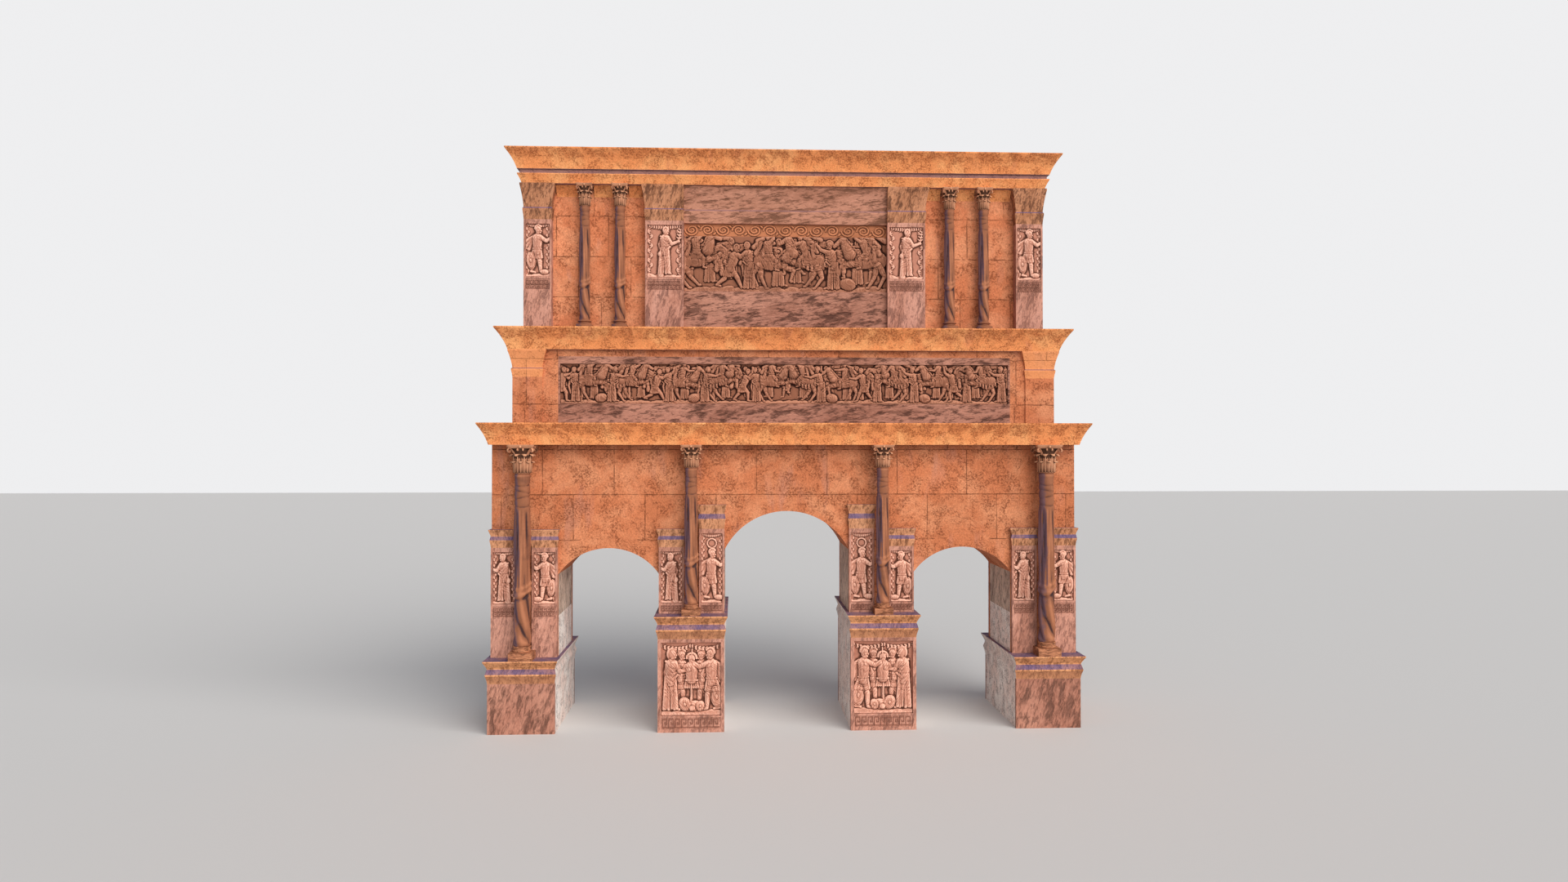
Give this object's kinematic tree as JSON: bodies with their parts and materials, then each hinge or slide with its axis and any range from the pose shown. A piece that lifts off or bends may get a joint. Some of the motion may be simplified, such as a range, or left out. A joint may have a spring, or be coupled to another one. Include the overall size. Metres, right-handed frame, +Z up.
{
  "type": "triumphal arch",
  "caption": "Roman-style triumphal arch with a tall centre passage and lower side passages, detached columns, carved frieze and a colonnaded attic.",
  "frame": {"origin": "on the ground at the middle of the plan, under the crown of the centre arch", "axes": "+X to the right along the front, +Y from the front to the back through the passages, +Z up"},
  "size_m": [20.04, 4.88, 19.2],
  "materials": {
    "orange_stone": "worn speckled travertine in large squared blocks",
    "cornice_stone": "warm speckled limestone, worn mouldings",
    "pink_marble": "pinkish brown marble with dark upright veins",
    "relief_marble": "pale pinkish marble, carved in relief",
    "brown_marble": "brown marble, carved and streaked along its length",
    "ochre_stone": "golden brown stone with dark weather streaks",
    "granite": "speckled grey granite",
    "veined_stone": "grey stone with long streaks",
    "column_stone": "brown marble, carved",
    "capital_stone": "olive brown stone, carved leaves"
  },
  "bodies": {
    "root": {"outer_left_pedestal": "pink_marble", "inner_left_pedestal": "pink_marble", "inner_right_pedestal": "pink_marble", "outer_right_pedestal": "pink_marble", "outer_left_pedestal_cap": "ochre_stone", "inner_left_pedestal_cap": "ochre_stone", "inner_right_pedestal_cap": "ochre_stone", "outer_right_pedestal_cap": "ochre_stone", "front_pedestal_panels": "relief_marble", "back_pedestal_panels": "relief_marble", "granite_jamb_slabs": "granite", "veined_jamb_slabs": "veined_stone", "outer_left_pier": "orange_stone", "inner_left_pier": "orange_stone", "inner_right_pier": "orange_stone", "outer_right_pier": "orange_stone", "front_pilasters": "relief_marble", "back_pilasters": "relief_marble", "front_pilaster_caps": "ochre_stone", "back_pilaster_caps": "ochre_stone", "end_wall_imposts": "ochre_stone", "left_arch": "orange_stone", "centre_arch": "orange_stone", "right_arch": "orange_stone", "main_wall": "orange_stone", "front_column_bases": "column_stone", "front_column_shafts": "column_stone", "front_column_capitals": "capital_stone", "back_column_bases": "column_stone", "back_column_shafts": "column_stone", "back_column_capitals": "capital_stone", "lower_cornice": "cornice_stone", "frieze_wall": "orange_stone", "front_frieze_panel": "brown_marble", "back_frieze_panel": "brown_marble", "frieze_corner_pilasters": "orange_stone", "middle_cornice": "cornice_stone", "attic_wall": "orange_stone", "front_attic_panel": "brown_marble", "back_attic_panel": "brown_marble", "attic_pilasters": "relief_marble", "attic_pilaster_caps": "ochre_stone", "attic_bed_mouldings": "cornice_stone", "attic_colonnettes": "column_stone", "attic_colonnette_capitals": "capital_stone", "attic_architrave": "cornice_stone", "top_cornice": "cornice_stone"}
  },
  "joints": []
}
